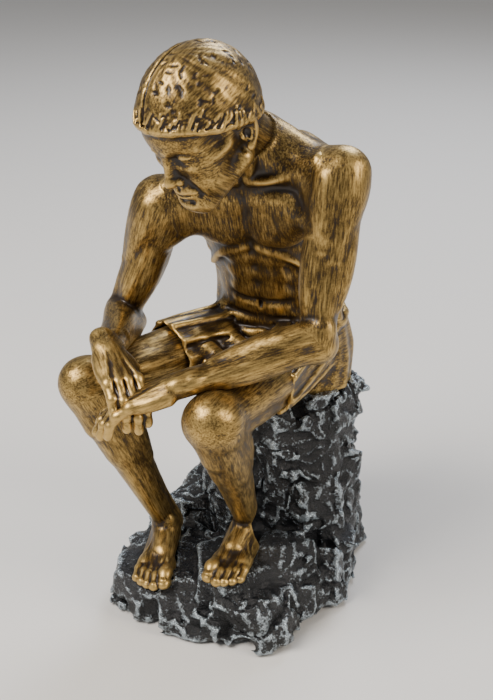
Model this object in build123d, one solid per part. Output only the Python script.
from build123d import *
import math
import os

# A seated, thoughtful man on a rock: a painted resin statuette for a desk or a shelf.
# Millimetres. +Z is up, the man faces -Y, his left hand is on the +X side.
# The origin is the centre of the felt's underside, on the table.
# He is cast in six pieces that are pinned and glued at flat faces, and a stud bolts him to the rock.

# Rock and the things under it
felt_thick = 1.5
felt_half_wide = 43.0
felt_half_long = 56.0
board_thick = 3.0
board_half_wide = 36.0
board_half_long = 50.0
glue_gap = 0.2
rock_wall = 7.0
rock_half_wide = 50.0
rock_half_long = 61.0
plinth_height = 24.0
seat_height = 100.0
seat_half_wide = 38.0
seat_half_long = 28.0
seat_roof = 15.0

# Lower body
hip_half_spread = 17.0
hip_rise = 19.0
hip_set_back = 35.0
thigh_length = 102.0
shank_length = 96.0
thigh_radius = 16.5
knee_radius = 12.0
calf_radius = 12.0
ankle_radius = 6.6
ankle_rise = 13.0
foot_length = 47.0
foot_half_wide = 10.0
toe_radius = 2.9
left_thigh_yaw = 6.4
left_thigh_pitch = 3.2
left_shank_yaw = 196.8
left_shank_pitch = -57.4
left_foot_yaw = 13.5
right_thigh_yaw = -13.6
right_thigh_pitch = 1.7
right_shank_yaw = 160.0
right_shank_pitch = -66.6
right_foot_yaw = 25.0

# Trunk, neck and head
torso_height = 130.0
torso_reach = 51.5
torso_twist = 11.0
torso_roll = 9.0
torso_lean = 10.0
chest_half_wide = 36.0
chest_half_deep = 22.0
neck_radius = 13.0
neck_length = 10.0
neck_pitch = 28.0
head_height = 57.0
head_half_wide = 20.0
head_half_long = 24.5
head_bow = 30.0
head_turn = -13.0
hair_thick = 2.8

# Arms
shoulder_half_spread = 40.4
shoulder_radius = 15.0
upper_arm_length = 70.0
forearm_length = 65.0
upper_arm_radius = 11.0
forearm_radius = 9.6
palm_length = 21.0
palm_half_wide = 8.8
palm_half_thick = 3.9
finger_radius = 2.5
finger_length = 21.0
left_shoulder_drop = -5.5
left_hand_yaw = -56.0
left_hand_pitch = -20.0
right_shoulder_drop = -13.3
right_hand_yaw = 58.0
right_hand_pitch = -21.0
# Where each wrist rests over its own knee: ahead, above and inward, as shares of the knee's radius
left_wrist_shares = (0.50, 1.05, 1.45)
right_wrist_shares = (0.60, 1.88, 1.70)
# The way that each elbow points: outward, back and down
left_swing_shares = (0.66, 0.54, 0.30)
right_swing_shares = (0.50, 0.75, 0.20)

left_curl = 55.0
right_curl = 75.0
left_thumb_share = 0.55
right_thumb_share = 0.35

# Cloth round the hips
cloth_thick = 1.8
hem_share = 0.55

# Steel
pin_radius = 1.5
pin_length = 16.0
pin_clearance = 0.05
stud_radius = 3.0
stud_length = 46.0
stud_clearance = 0.1
nut_flats = 10.0
nut_height = 5.0
washer_radius = 9.0
washer_thick = 1.6

# Facets round each form
limb_sides = 11
foot_sides = 12
toe_sides = 6
palm_sides = 10
finger_sides = 6
face_sides = 14
hair_sides = 16
feature_sides = 8
muscle_sides = 8

# One overrun for every cutting tool, larger than the statuette
cut_reach = 2 * (seat_height + torso_height)
up = Vector(0, 0, 1)
upright = 90.0


# Directions and places


def heading(yaw, pitch):
    """Unit vector along -Y, turned by yaw towards +X and raised by pitch."""
    level = math.cos(math.radians(pitch))
    side = math.sin(math.radians(yaw)) * level
    forward = math.cos(math.radians(yaw)) * level
    return Vector(side, -forward, math.sin(math.radians(pitch)))


def square_to(direction, along):
    """The part of direction that is square to along, as a unit vector."""
    return (direction - along * direction.dot(along)).normalized()


def ring(origin, across, along, half_wide, half_deep, count):
    """The points of an oval whose width runs across, square to along."""
    side = square_to(across, along)
    front = along.cross(side)
    points = []
    for n in range(count):
        angle = 2 * math.pi * n / count
        wide = side * (half_wide * math.cos(angle))
        deep = front * (half_deep * math.sin(angle))
        points.append(origin + wide + deep)
    return points


def skin(rings):
    """A solid of flat facets from each ring of points to the next, closed at both ends."""
    facets = [Face(Wire.make_polygon(rings[0])), Face(Wire.make_polygon(rings[-1]))]
    for low, high in zip(rings, rings[1:]):
        for n in range(len(low)):
            after = (n + 1) % len(low)
            facets.append(Face(Wire.make_polygon([low[n], low[after], high[after]])))
            facets.append(Face(Wire.make_polygon([low[n], high[after], high[n]])))
    return Part() + Solid(Shell(facets))


def egg(centre, along, across, half_long, half_wide, half_deep, count=limb_sides):
    """A rounded mass with its half sizes along, across and square to both."""
    steps = count // 2
    rings = []
    for n in range(steps):
        angle = math.radians(egg_end_angle) * (2 * n / (steps - 1) - 1)
        girth = math.cos(angle)
        origin = centre + along * (half_long * math.sin(angle))
        rings.append(ring(origin, across, along, half_wide * girth, half_deep * girth, count))
    return skin(rings)


egg_end_angle = 76


def limb(start, end, across, radius, shares, count=limb_sides):
    """A limb from start to end. Each row of shares is how far along, and the width,
    the depth and the shift towards the front, as shares of the radius."""
    along = (end - start).normalized()
    front = along.cross(square_to(across, along))
    rings = []
    for far_share, wide_share, deep_share, shift_share in shares:
        origin = start + (end - start) * far_share + front * (radius * shift_share)
        rings.append(ring(origin, across, along, radius * wide_share, radius * deep_share, count))
    return skin(rings)


def beyond(origin, normal):
    """All the space on the side of the plane that normal points to."""
    block = Box(cut_reach, cut_reach, cut_reach, align=(Align.CENTER, Align.CENTER, Align.MIN))
    return Plane(origin=origin, z_dir=normal) * block


def below(height):
    return beyond(Vector(0, 0, height), -up)


def pin_at(centre, along, radius, length):
    return Plane(origin=centre, z_dir=along) * Cylinder(radius, length)


# The skeleton: where each joint of the body lies


def leg_bones(side, thigh_yaw, thigh_pitch, shank_yaw, shank_pitch, foot_yaw):
    hip = Vector(side * hip_half_spread, hip_set_back, seat_height + hip_rise)
    thigh = heading(thigh_yaw, thigh_pitch)
    knee = hip + thigh * thigh_length
    shank = heading(shank_yaw, shank_pitch)
    ankle = knee + shank * shank_length
    foot = heading(foot_yaw, 0)
    sole = ankle - up * ankle_rise
    return {
        "side": side,
        "hip": hip,
        "thigh": thigh,
        "knee": knee,
        "shank": shank,
        "ankle": ankle,
        "foot": foot,
        "sole": sole,
        "across": square_to(Vector(1, 0, 0), thigh),
        "seam": hip + thigh * (thigh_length * hem_share),
    }


left_leg_bones = leg_bones(
    1, left_thigh_yaw, left_thigh_pitch, left_shank_yaw, left_shank_pitch, left_foot_yaw
)
right_leg_bones = leg_bones(
    -1, right_thigh_yaw, right_thigh_pitch, right_shank_yaw, right_shank_pitch, right_foot_yaw
)

# Rings of the trunk, from the seat to the root of the neck: height as a share of the torso's, half
# width as a share of the chest's, front and back depth as shares of its depth, and the furrows down
# the front and the back
trunk_shares = [
    (0.000, 0.97, 1.04, 1.12, 0.00, 0.04),
    (0.110, 1.00, 1.02, 1.20, 0.00, 0.08),
    (0.205, 0.93, 0.95, 1.08, 0.00, 0.04),
    (0.230, 0.96, 0.99, 1.12, 0.00, 0.03),
    (0.262, 0.94, 0.97, 1.09, 0.00, 0.03),
    (0.270, 0.86, 0.88, 0.97, 0.03, 0.12),
    (0.360, 0.79, 0.84, 0.85, 0.05, 0.16),
    (0.470, 0.79, 0.84, 0.84, 0.06, 0.17),
    (0.570, 0.84, 0.88, 0.91, 0.06, 0.16),
    (0.645, 0.88, 0.90, 0.97, 0.06, 0.15),
    (0.730, 0.89, 0.93, 0.99, 0.08, 0.15),
    (0.820, 0.87, 0.86, 0.95, 0.06, 0.12),
    (0.890, 0.82, 0.68, 0.82, 0.03, 0.07),
    (0.950, 0.55, 0.56, 0.68, 0.00, 0.00),
    (1.000, 0.36, 0.54, 0.58, 0.00, 0.00),
]


def trunk_point(rise_share):
    """The middle of the trunk at a height: the spine bows forward and leans to his left as the
    square of the height."""
    return Vector(
        torso_lean * rise_share * rise_share,
        hip_set_back - torso_reach * rise_share * rise_share,
        seat_height + torso_height * rise_share,
    )


def trunk_across(rise_share):
    """The way from his right to his left at a height of the trunk, which turns and tips as it
    rises, so his right shoulder is the lower one."""
    turn = math.radians(torso_twist * rise_share)
    tip = math.radians(torso_roll * rise_share)
    return Vector(math.cos(turn), math.sin(turn), math.tan(tip)).normalized()


def trunk_rings():
    """Each ring's centre, its ways across and up, its half width, front and back, and its relief."""
    rings = []
    for rise_share, wide_share, front_share, back_share, *relief_shares in trunk_shares:
        along = Vector(0, -2 * torso_reach * rise_share, torso_height).normalized()
        across = square_to(trunk_across(rise_share), along)
        wide = chest_half_wide * wide_share
        front = chest_half_deep * front_share
        back = chest_half_deep * back_share
        rings.append((trunk_point(rise_share), across, along, wide, front, back, relief_shares))
    return rings


neck_root, neck_across, neck_rise_direction = trunk_rings()[-1][:3]
# How much of the head's turn the neck takes
neck_turn_share = 0.5
neck_direction = heading(head_turn * neck_turn_share, neck_pitch)
skull_base = neck_root + neck_direction * neck_length
face_forward = heading(head_turn, -head_bow)
head_up = heading(head_turn, upright - head_bow)
head_side = head_up.cross(face_forward)
head_over_neck_share = 0.20
head_before_neck_share = 0.16
head_centre = (
    skull_base
    + head_up * (head_height * head_over_neck_share)
    + face_forward * (head_height * head_before_neck_share)
)


# How far the shoulder lies behind the neck's root, and its seam towards the neck, as shares of its radius
shoulder_back_share = 0.30
shoulder_seam_share = 0.50


def elbow_place(shoulder, wrist, outward, swing_shares):
    """Where the elbow lies when both arm bones keep their lengths between shoulder and wrist."""
    reach = wrist - shoulder
    span = reach.length
    near = (upper_arm_length**2 - forearm_length**2 + span**2) / (2 * span)
    aside = math.sqrt(upper_arm_length**2 - near**2)
    out_share, back_share, down_share = swing_shares
    swing = outward * out_share + Vector(0, back_share, -down_share)
    along = reach.normalized()
    return shoulder + along * near + square_to(swing, along) * aside


def arm_bones(leg, shoulder_drop, wrist_shares, swing_shares, hand_yaw, hand_pitch):
    side = leg["side"]
    outward = trunk_across(1) * side
    shoulder = trunk_point(1) + outward * shoulder_half_spread
    shoulder += Vector(0, shoulder_radius * shoulder_back_share, shoulder_drop - shoulder_radius)
    ahead_share, above_share, inward_share = wrist_shares
    wrist = leg["knee"] + leg["thigh"] * (knee_radius * ahead_share)
    wrist += Vector(-side * knee_radius * inward_share, 0, knee_radius * above_share)
    elbow = elbow_place(shoulder, wrist, outward, swing_shares)
    return {
        "side": side,
        "shoulder": shoulder,
        "upper": (elbow - shoulder).normalized(),
        "elbow": elbow,
        "fore": (wrist - elbow).normalized(),
        "wrist": wrist,
        "hand": heading(hand_yaw, hand_pitch),
        "outward": outward,
        "seam": shoulder - outward * (shoulder_radius * shoulder_seam_share),
    }


left_arm_bones = arm_bones(
    left_leg_bones,
    left_shoulder_drop,
    left_wrist_shares,
    left_swing_shares,
    left_hand_yaw,
    left_hand_pitch,
)
right_arm_bones = arm_bones(
    right_leg_bones,
    right_shoulder_drop,
    right_wrist_shares,
    right_swing_shares,
    right_hand_yaw,
    right_hand_pitch,
)


# Trunk with its cloth


def trunk_outline(origin, across, along, wide, front, back, relief_shares):
    """A closed, slightly squared ring, with its furrows in the middle."""
    spine = along.cross(across)
    front_furrow_share, back_furrow_share = relief_shares
    points = []
    for n in range(trunk_ring_points):
        angle = 2 * math.pi * n / trunk_ring_points
        aside = math.copysign(abs(math.cos(angle)) ** trunk_square_share, math.cos(angle))
        deep = math.copysign(abs(math.sin(angle)) ** trunk_square_share, math.sin(angle))
        depth = back if deep > 0 else front
        if abs(aside) < furrow_half_share:
            depth *= 1 - (back_furrow_share if deep > 0 else front_furrow_share)
        points.append(origin + across * (wide * aside) + spine * (depth * deep))
    return points


trunk_ring_points = 18
trunk_square_share = 0.86
furrow_half_share = 0.1


# The breast and the shoulder blade, laid on the trunk: height, place aside and forward as shares
# of the outline there, then half sizes across, along and out as shares of the chest's depth
muscle_shares = [
    (0.775, 0.48, 0.84, 0.70, 0.58, 0.32),
    (0.765, 0.55, -0.80, 0.50, 0.66, 0.34),
]


def trunk_share_at(rise_share, column):
    """A column of the trunk's rings, read between two of them."""
    for low, high in zip(trunk_shares, trunk_shares[1:]):
        if rise_share <= high[0]:
            part = (rise_share - low[0]) / (high[0] - low[0])
            return low[column] + (high[column] - low[column]) * part
    return trunk_shares[-1][column]


def muscle(side, shares):
    rise_share, aside_share, forward_share, across_share, along_share, out_share = shares
    along = Vector(0, -2 * torso_reach * rise_share, torso_height).normalized()
    across = square_to(trunk_across(rise_share), along)
    depth_share = trunk_share_at(rise_share, 2 if forward_share > 0 else 3)
    place = trunk_point(rise_share)
    place += across * (side * aside_share * chest_half_wide * trunk_share_at(rise_share, 1))
    place -= along.cross(across) * (forward_share * chest_half_deep * depth_share)
    half_long, half_wide, half_deep = (
        chest_half_deep * share for share in (along_share, across_share, out_share)
    )
    return egg(place, along, across, half_long, half_wide, half_deep, muscle_sides)


def fluted_ring(origin, across, along, half_wide, half_deep, flute_share):
    """A ring of cloth whose edge goes in and out by flute_share of its size."""
    points = ring(origin, across, along, half_wide, half_deep, 2 * hem_flutes)
    for n, point in enumerate(points):
        points[n] = origin + (point - origin) * (1 + flute_share * (-1) ** n)
    return points


hem_flutes = 10
# Rings of each sleeve of cloth, from behind the hip to the hem: how far to the seam,
# width and depth as shares of the clothed thigh's radius, and the flutes' depth
sleeve_shares = [
    (-0.25, 0.90, 0.87, 0.00),
    (0.30, 1.04, 1.00, 0.015),
    (0.70, 0.99, 0.98, 0.030),
    (1.00, 0.96, 0.96, 0.045),
]


def cloth_sleeve(leg):
    reach = leg["seam"] - leg["hip"]
    rings = []
    for far_share, wide_share, deep_share, flute_share in sleeve_shares:
        rings.append(
            fluted_ring(
                leg["hip"] + reach * far_share,
                leg["across"],
                leg["thigh"],
                (thigh_radius + cloth_thick) * wide_share,
                (thigh_radius + cloth_thick) * deep_share,
                flute_share,
            )
        )
    return skin(rings)


def shoulder_mass(arm):
    """The round of the shoulder, which the seam of the arm cuts through."""
    middle = arm["shoulder"] + arm["upper"] * (shoulder_radius * 0.25)
    half_long = shoulder_radius * 1.45
    return egg(middle, arm["upper"], arm["outward"], half_long, shoulder_radius, shoulder_radius * 1.02)


def neck_slope(arm):
    """The slope of muscle from the neck down to the shoulder."""
    low = arm["seam"] - arm["outward"] * (shoulder_radius * 0.35) + up * (shoulder_radius * 0.30)
    high = neck_root - neck_rise_direction * (neck_radius * 0.30)
    way = (high - low).normalized()
    half_long = (high - low).length * 0.72
    slope = egg((low + high) * 0.5, way, up, half_long, neck_radius * 0.62, neck_radius * 0.95)
    return slope - beyond(neck_root, neck_rise_direction)


def torso_casting():
    body = skin([trunk_outline(*ring) for ring in trunk_rings()])
    for arm in (left_arm_bones, right_arm_bones):
        body += shoulder_mass(arm) - beyond(arm["seam"], arm["outward"])
        body += neck_slope(arm)
        body += [muscle(arm["side"], shares) for shares in muscle_shares]
    for leg in (left_leg_bones, right_leg_bones):
        body += cloth_sleeve(leg)
    knees_apart = (left_leg_bones["seam"] + right_leg_bones["seam"]) * 0.5
    lap = knees_apart + Vector(0, thigh_radius * 0.9, -thigh_radius * 0.35)
    half_long = thigh_radius * 1.5
    body += egg(lap, Vector(0, 1, 0), Vector(1, 0, 0), half_long, hip_half_spread, thigh_radius * 0.62)
    return body - below(seat_height)


# Legs


thigh_shares = [
    (0.00, 0.92, 0.94, 0.00),
    (0.35, 0.86, 0.90, 0.02),
    (0.70, 0.74, 0.80, 0.00),
    (1.00, 0.66, 0.70, -0.02),
]
shank_shares = [
    (0.00, 0.90, 0.95, -0.05),
    (0.14, 0.94, 1.00, -0.12),
    (0.32, 1.00, 1.06, -0.20),
    (0.52, 0.84, 0.88, -0.14),
    (0.74, 0.60, 0.66, -0.04),
    (0.90, 0.52, 0.58, 0.00),
    (1.00, 0.54, 0.62, 0.00),
]
# Rings of the foot along its length from the ankle: place, half width and height as shares of
# the foot's length, half width and the ankle's rise
foot_shares = [
    (-0.25, 0.42, 0.42),
    (-0.19, 0.62, 0.86),
    (-0.04, 0.66, 1.22),
    (0.14, 0.74, 1.08),
    (0.34, 0.90, 0.78),
    (0.52, 1.00, 0.56),
    (0.64, 0.96, 0.42),
]
# Toes from the inner side: place across, how far the tip reaches, and size
toe_shares = [
    (-0.66, 0.85, 1.25),
    (-0.22, 0.86, 0.95),
    (0.12, 0.83, 0.92),
    (0.44, 0.79, 0.88),
    (0.76, 0.73, 0.84),
]


def foot_solid(leg):
    across = up.cross(leg["foot"]) * -1
    rings = []
    for far_share, wide_share, tall_share in foot_shares:
        origin = leg["sole"] + leg["foot"] * (foot_length * far_share)
        wide = foot_half_wide * wide_share
        rings.append(ring(origin, across, leg["foot"], wide, ankle_rise * tall_share, foot_sides))
    foot = skin(rings)
    outward = square_to(Vector(leg["side"], 0, 0), leg["foot"])
    for place_share, reach_share, size_share in toe_shares:
        size = toe_radius * size_share
        tip = leg["sole"] + leg["foot"] * (foot_length * reach_share - size)
        tip += outward * (foot_half_wide * place_share) + up * (size * 0.85)
        root = tip - leg["foot"] * (foot_length * 0.16)
        foot += egg((tip + root) * 0.5, leg["foot"], outward, foot_length * 0.13, size, size, toe_sides)
    return foot - below(leg["sole"].Z)


def leg_casting(leg):
    thigh = limb(leg["seam"], leg["knee"], leg["across"], thigh_radius, thigh_shares)
    shank = limb(leg["knee"], leg["ankle"], leg["across"], calf_radius, shank_shares)
    cap_way = (leg["thigh"] - leg["shank"]).normalized()
    knee = egg(leg["knee"], cap_way, leg["across"], knee_radius * 1.02, knee_radius * 0.95, knee_radius)
    cap = leg["knee"] + cap_way * (knee_radius * 0.62)
    knee += egg(cap, leg["shank"], leg["across"], knee_radius * 0.66, knee_radius * 0.5, knee_radius * 0.5)
    half_long, half_wide, half_deep = ankle_radius * 1.5, ankle_radius * 1.05, ankle_radius * 1.12
    ankle = egg(leg["ankle"], leg["shank"], leg["across"], half_long, half_wide, half_deep)
    return thigh + knee + shank + ankle + foot_solid(leg)


# Arms


upper_arm_shares = [
    (0.06, 1.10, 1.16, 0.00),
    (0.34, 0.96, 1.10, 0.06),
    (0.60, 0.90, 1.02, 0.08),
    (0.85, 0.78, 0.84, 0.00),
    (1.00, 0.74, 0.80, 0.00),
]
forearm_shares = [
    (0.00, 0.90, 0.92, 0.00),
    (0.20, 1.02, 1.02, 0.00),
    (0.45, 0.92, 0.90, 0.00),
    (0.75, 0.70, 0.62, 0.00),
    (1.00, 0.64, 0.50, 0.00),
]
palm_shares = [
    (0.00, 0.60, 1.12),
    (0.30, 0.84, 1.16),
    (0.70, 1.00, 1.08),
    (1.00, 0.98, 0.86),
]
# Fingers from the thumb's side: place across the palm, length, and how far each curls in degrees
finger_shares = [
    (0.74, 0.94, 0.80),
    (0.26, 1.04, 0.90),
    (-0.24, 0.98, 1.00),
    (-0.72, 0.80, 1.12),
]
finger_steps = 3
# The round end of a finger: how far out and how wide
tip_shares = [
    (0.50, 0.84),
    (0.84, 0.48),
]


def finger(root, forward, dorsal, length, radius, curl):
    """A tapering finger that curls away from the back of the hand."""
    across = dorsal.cross(forward)
    rings = [ring(root, across, forward, radius, radius, finger_sides)]
    place = root
    for n in range(finger_steps):
        angle = math.radians(curl * (n + 1) / finger_steps)
        way = forward * math.cos(angle) - dorsal * math.sin(angle)
        place = place + way * (length / finger_steps)
        size = radius * (1 - 0.09 * (n + 1))
        rings.append(ring(place, across, way, size, size, finger_sides))
    for reach_share, girth_share in tip_shares:
        girth = size * girth_share
        rings.append(ring(place + way * (size * reach_share), across, way, girth, girth, finger_sides))
    return skin(rings)


def hand_solid(arm, curl, thumb_reach_share):
    hand = arm["hand"]
    dorsal = square_to(up, hand)
    thumb_side = dorsal.cross(hand) * -arm["side"]
    knuckles = arm["wrist"] + hand * palm_length
    rings = []
    for far_share, wide_share, thick_share in palm_shares:
        origin = arm["wrist"] + hand * (palm_length * far_share)
        wide = palm_half_wide * wide_share
        rings.append(ring(origin, thumb_side, hand, wide, palm_half_thick * thick_share, palm_sides))
    body = skin(rings)
    for place_share, length_share, curl_share in finger_shares:
        root = knuckles + thumb_side * (palm_half_wide * place_share) - hand * finger_radius
        body += finger(
            root, hand, dorsal, finger_length * length_share, finger_radius, curl * curl_share
        )
    thumb_root = arm["wrist"] + hand * (palm_length * 0.25) + thumb_side * (palm_half_wide * 0.5)
    thumb_way = (hand + thumb_side * thumb_reach_share - dorsal * 0.25).normalized()
    body += finger(thumb_root, thumb_way, dorsal, finger_length * 0.95, finger_radius * 1.15, curl * 0.3)
    return body


def arm_casting(arm, curl, thumb_reach_share):
    upper = limb(arm["shoulder"], arm["elbow"], arm["outward"], upper_arm_radius, upper_arm_shares)
    half_wide = forearm_radius * 0.9
    half_deep = forearm_radius * 0.95
    elbow = egg(arm["elbow"], arm["upper"], arm["outward"], forearm_radius, half_wide, half_deep)
    dorsal = square_to(up, arm["fore"])
    fore = limb(arm["elbow"], arm["wrist"], dorsal.cross(arm["fore"]), forearm_radius, forearm_shares)
    shoulder = shoulder_mass(arm) - beyond(arm["seam"], arm["outward"] * -1)
    return shoulder + upper + elbow + fore + hand_solid(arm, curl, thumb_reach_share)


# Head


def head_point(side_share, forward_share, up_share):
    """A place in the head, as shares of its half width, half length and height."""
    return (
        head_centre
        + head_side * (head_half_wide * side_share)
        + face_forward * (head_half_long * forward_share)
        + head_up * (head_height * up_share)
    )


def head_egg(place, half_side, half_forward, half_up, count):
    return egg(place, head_up, head_side, half_up, half_side, half_forward, count)


# Rings of the face from the brow to under the chin: height, half width, front and back as shares
face_shares = [
    (0.12, 0.92, 0.94, -0.20),
    (0.02, 0.92, 0.87, -0.25),
    (-0.08, 0.88, 0.90, -0.25),
    (-0.20, 0.81, 0.92, -0.20),
    (-0.31, 0.70, 0.95, -0.10),
    (-0.40, 0.58, 0.92, 0.02),
    (-0.49, 0.38, 0.90, 0.20),
]


# Rings of the nose from the bridge to the tip, as shares of its length
nose_shares = [
    (0.00, 0.17, 0.22, 0.00),
    (1.00, 0.34, 0.26, 0.00),
]
# Rings of the neck: how far up, and how deep for its radius
neck_shares = [
    (0.50, 1.00),
    (1.00, 1.10),
]


# How thick the rolled edge of the hair is for the hair's own thickness
hair_roll_share = 1.22


def hair_shell(thick):
    half_up = head_height * 0.41 + thick
    middle = head_point(0, -0.07, 0.11)
    return head_egg(middle, head_half_wide + thick, head_half_long + thick, half_up, hair_sides)


def head_casting():
    across = head_half_wide
    root = trunk_outline(*trunk_rings()[-1])
    neck_rings = [root]
    for climb_share, girth_share in neck_shares:
        place = neck_root + (skull_base - neck_root) * climb_share
        neck_rings.append(
            ring(place, neck_across, neck_direction, neck_radius, neck_radius * girth_share, len(root))
        )
    neck = skin(neck_rings)
    skull = head_egg(head_point(0, -0.02, 0.10), across, head_half_long, head_height * 0.41, face_sides)
    rings = []
    for up_share, wide_share, front_share, back_share in face_shares:
        middle = head_point(0, (front_share + back_share) / 2, up_share)
        half_deep = head_half_long * (front_share - back_share) / 2
        rings.append(ring(middle, head_side, head_up * -1, across * wide_share, half_deep, face_sides))
    body = neck + skull + skin(rings)
    nose_length = head_height * 0.2
    bridge = head_point(0, 0.88, 0.02)
    tip = head_point(0, 1.06, -0.17)
    body += limb(bridge, tip, head_side, nose_length, nose_shares, feature_sides)
    body += head_egg(tip, nose_length * 0.34, nose_length * 0.26, nose_length * 0.24, feature_sides)
    brow = head_point(0, 0.86, 0.085)
    body += head_egg(brow, across * 0.66, across * 0.22, head_height * 0.045, feature_sides)
    for side in (-1, 1):
        ear = head_point(side * 0.98, -0.10, -0.05)
        body += head_egg(ear, across * 0.12, across * 0.24, head_height * 0.13, feature_sides)
    hair_front = head_point(0, 0.90, 0.24)
    hair_back = head_point(0, -1.00, -0.16)
    hair_down = head_side.cross((hair_front - hair_back).normalized())
    hair = hair_shell(hair_thick) - beyond(hair_back, hair_down)
    roll = hair_shell(hair_thick * hair_roll_share) - beyond(hair_back, hair_down)
    roll -= beyond(hair_back - hair_down * hair_thick, hair_down * -1)
    body += hair + roll
    return body - beyond(neck_root, neck_rise_direction * -1)


# Rock


golden_angle = math.radians(137.5)


def boulder(centre, half_x, half_y, half_z, turn):
    """A block with rings of flat facets: the sides, then the shoulders, then the crown.
    Each facet lies at its own distance, so no two edges run alike."""
    stone = Pos(centre) * Box(half_x * block_share, half_y * block_share, half_z * 2)
    facet = 0
    for lean, count, reach_share in boulder_rings:
        for n in range(count):
            facet += 1
            angle = turn + lean + 2 * math.pi * n / count
            normal = Vector(
                math.cos(angle) * math.cos(lean), math.sin(angle) * math.cos(lean), math.sin(lean)
            )
            reach = math.hypot(half_x * normal.X, half_y * normal.Y) + half_z * normal.Z
            uneven = 1 + boulder_uneven_share * math.sin(facet * golden_angle + turn)
            stone -= beyond(centre + normal * (reach * reach_share * uneven), normal)
    return stone


# Lean of the facets, how many, and how near they lie
boulder_rings = [
    (math.radians(6), 7, 0.96),
    (math.radians(38), 6, 0.86),
    (math.radians(68), 3, 0.93),
]
boulder_uneven_share = 0.07
# How large the block is before it is faceted
block_share = 2.6


# A step under a foot: its middle along the foot, half width and length, and how far it would rise
# without the cut, as shares of the foot's length, its half width, its length and the sole's height
step_shares = (0.24, 2.0, 0.55, 1.25)


def step(leg):
    """The step that a foot stands on, flat at the height of its sole."""
    middle_share, wide_share, long_share, tall_share = step_shares
    middle = leg["sole"] + leg["foot"] * (foot_length * middle_share)
    foot = Vector(middle.X, middle.Y, 0)
    half_tall = leg["sole"].Z * tall_share
    stone = boulder(foot, foot_half_wide * wide_share, foot_length * long_share, half_tall, leg["side"])
    return stone - beyond(leg["sole"], up)


# Crags round the seat: place, half width and half length as shares of the rock's,
# height as a share of the seat's, and how far each is turned
crag_shares = [
    (0.42, 0.36, 0.40, 0.42, 0.72, 2.1),
    (-0.36, 0.55, 0.45, 0.38, 0.60, 4.2),
    (-0.08, 0.10, 0.30, 0.30, 0.60, 1.4),
    (0.66, -0.22, 0.28, 0.28, 0.38, 5.0),
    (-0.66, 0.16, 0.28, 0.34, 0.38, 0.5),
    (-0.06, -0.62, 0.36, 0.26, 0.17, 3.3),
    (0.26, 0.68, 0.40, 0.24, 0.52, 2.7),
    (-0.32, 0.74, 0.42, 0.22, 0.34, 1.9),
    (0.66, 0.30, 0.24, 0.30, 0.30, 3.7),
    (0.78, -0.62, 0.26, 0.24, 0.25, 0.9),
]
plinth_place_shares = (0.08, -0.02)
plinth_turn = 0.3
seat_turn = 0.9
seat_overrise_share = 1.18

# Chips that stand out of the sides in rows: height as a share of the seat's, how many go round,
# and whether they lie on the plinth or on the seat
chip_rows = [
    (0.09, 13, False),
    (0.24, 8, True),
    (0.44, 8, True),
    (0.64, 8, True),
    (0.85, 8, True),
]
chip_half_long = 12.0
chip_half_wide = 8.0
chip_half_deep = 6.0
chip_inset_share = 0.90
# How far a chip leans, and how far its place wanders along its row
chip_lean_share = 0.35
chip_wander_share = 0.25


def rock_chip(middle, half_x, half_y, angle, rise, chip):
    """A hewn block half buried in a side, turned and leant its own way."""
    round_x, round_y = math.cos(angle), math.sin(angle)
    place = middle + Vector(half_x * round_x, half_y * round_y, 0) * chip_inset_share + up * rise
    along_row = Vector(-half_x * round_y, half_y * round_x, 0).normalized()
    outward = along_row.cross(up)
    outward += (along_row * math.sin(chip) + up * math.cos(chip)) * chip_lean_share
    turn = golden_angle * chip
    grain = square_to(along_row * math.cos(turn) + up * math.sin(turn), outward.normalized())
    block = Box(2 * chip_half_long, 2 * chip_half_wide, 2 * chip_half_deep)
    return Plane(origin=place, x_dir=grain, z_dir=outward) * block


def rock_chips(plinth, seat):
    chips = []
    for height_share, count, on_seat in chip_rows:
        middle, half_x, half_y = plinth, rock_half_wide, rock_half_long
        if on_seat:
            middle, half_x, half_y = seat, seat_half_wide, seat_half_long
        for n in range(count):
            chip = len(chips) + 1
            angle = 2 * math.pi * (n + chip_wander_share * math.sin(chip * golden_angle)) / count
            rise = seat_height * height_share + chip_half_wide * math.sin(chip)
            chips.append(rock_chip(middle, half_x, half_y, angle, rise, chip))
    return Part() + chips


def rock_casting():
    side_share, back_share = plinth_place_shares
    plinth = Vector(rock_half_wide * side_share, rock_half_long * back_share, 0)
    seat = Vector(0, rock_half_long - seat_half_long, 0)
    rock = boulder(plinth, rock_half_wide, rock_half_long, plinth_height, plinth_turn)
    rock += boulder(seat, seat_half_wide, seat_half_long, seat_height * seat_overrise_share, seat_turn)
    rock += rock_chips(plinth, seat)
    for side_share, back_share, wide_share, long_share, tall_share, turn in crag_shares:
        place = Vector(rock_half_wide * side_share, rock_half_long * back_share, 0)
        half_wide = rock_half_wide * wide_share
        half_long = rock_half_long * long_share
        rock += boulder(place, half_wide, half_long, seat_height * tall_share, turn)
    for leg in (left_leg_bones, right_leg_bones):
        rock += step(leg)
    rock -= beyond(Vector(0, 0, seat_height), up)
    rock -= below(felt_thick)
    return rock


# Pins, stud and what closes the rock


def pin_bores(places):
    """Bores for pins at their places, a little wider and longer than the pins."""
    bores = [
        pin_at(centre, along, pin_radius + pin_clearance, pin_length + 2 * glue_gap)
        for centre, along in places
    ]
    return Part() + bores


def pins(places):
    return Compound(children=[pin_at(centre, along, pin_radius, pin_length) for centre, along in places])


neck_places = [(neck_root, neck_rise_direction)]
shoulder_places = [(arm["seam"], arm["outward"]) for arm in (left_arm_bones, right_arm_bones)]
thigh_places = [(leg["seam"], leg["thigh"]) for leg in (left_leg_bones, right_leg_bones)]
foot_places = [(leg["sole"], up) for leg in (left_leg_bones, right_leg_bones)]

stud_bottom = seat_height - seat_roof - washer_thick - nut_height * 1.4


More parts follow.
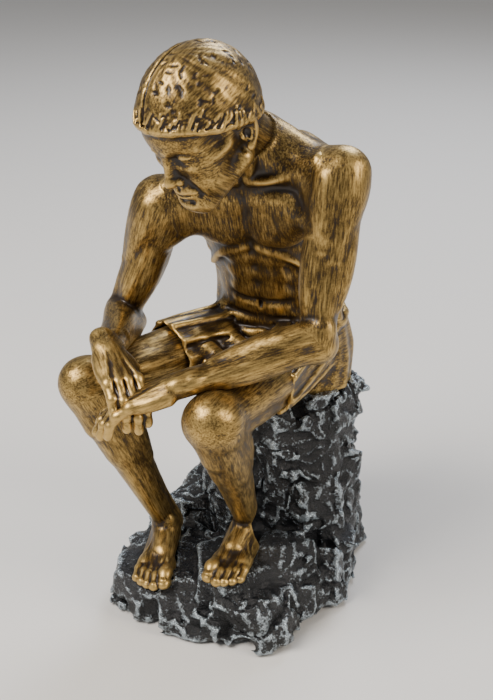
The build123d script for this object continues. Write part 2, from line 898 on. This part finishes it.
def stud_at(radius, extra):
    middle = Vector(0, hip_set_back, stud_bottom + stud_length / 2)
    return pin_at(middle, up, radius, stud_length + 2 * extra)


def seat_stud():
    return stud_at(stud_radius, 0)


def seat_washer():
    middle = Vector(0, hip_set_back, seat_height - seat_roof - washer_thick / 2)
    return pin_at(middle, up, washer_radius, washer_thick) - stud_at(stud_radius + stud_clearance, 0)


def seat_nut():
    top = Vector(0, hip_set_back, seat_height - seat_roof - washer_thick)
    blank = RegularPolygon(nut_flats / 2, 6, major_radius=False)
    nut = Plane(origin=top, z_dir=-up) * extrude(blank, nut_height)
    return nut - stud_at(stud_radius + stud_clearance, 0)


def plate(half_wide, half_long, bottom, thick):
    return Pos(0, 0, bottom) * extrude(Ellipse(half_wide, half_long), thick)


def rock_hollow():
    """The hollow under the seat, with the rebate that the board closes."""
    half_wide = seat_half_wide - 2 * rock_wall
    half_long = seat_half_long - 2 * rock_wall
    mouth = RectangleRounded(2 * half_wide, 2 * half_long, rock_wall)
    mouth = Pos(0, hip_set_back - rock_wall / 2, felt_thick) * mouth
    rebate = plate(board_half_wide + glue_gap, board_half_long + glue_gap, felt_thick, board_thick)
    return extrude(mouth, seat_height - seat_roof - felt_thick) + rebate


# Putting it together: what lies over another casting is cut to it

torso = torso_casting()
head = head_casting()
left_leg = leg_casting(left_leg_bones) - torso
right_leg = leg_casting(right_leg_bones) - torso
right_arm = arm_casting(right_arm_bones, right_curl, right_thumb_share) - torso - right_leg - left_leg
left_arm = arm_casting(left_arm_bones, left_curl, left_thumb_share) - torso - right_leg - left_leg
left_arm -= right_arm
rock = rock_casting() - rock_hollow() - left_leg - right_leg

torso -= pin_bores(neck_places + shoulder_places + thigh_places)
torso -= stud_at(stud_radius + stud_clearance, glue_gap)
head -= pin_bores(neck_places)
left_arm -= pin_bores(shoulder_places)
right_arm -= pin_bores(shoulder_places)
left_leg -= pin_bores(thigh_places + foot_places)
right_leg -= pin_bores(thigh_places + foot_places)
rock -= pin_bores(foot_places)
rock -= stud_at(stud_radius + stud_clearance, glue_gap)

pieces = {
    "rock_base": rock,
    "base_board": plate(board_half_wide, board_half_long, felt_thick, board_thick),
    "felt_pad": plate(felt_half_wide, felt_half_long, 0, felt_thick),
    "torso": torso,
    "head": head,
    "left_arm": left_arm,
    "right_arm": right_arm,
    "left_leg": left_leg,
    "right_leg": right_leg,
    "neck_pin": pins(neck_places),
    "shoulder_pins": pins(shoulder_places),
    "thigh_pins": pins(thigh_places),
    "foot_pins": pins(foot_places),
    "seat_stud": seat_stud(),
    "seat_washer": seat_washer(),
    "seat_nut": seat_nut(),
}

os.makedirs("parts", exist_ok=True)
for name, solid in pieces.items():
    export_step(solid, f"parts/{name}.step")
    print(name, len(solid.solids()), "solids", round(solid.volume), "mm3")
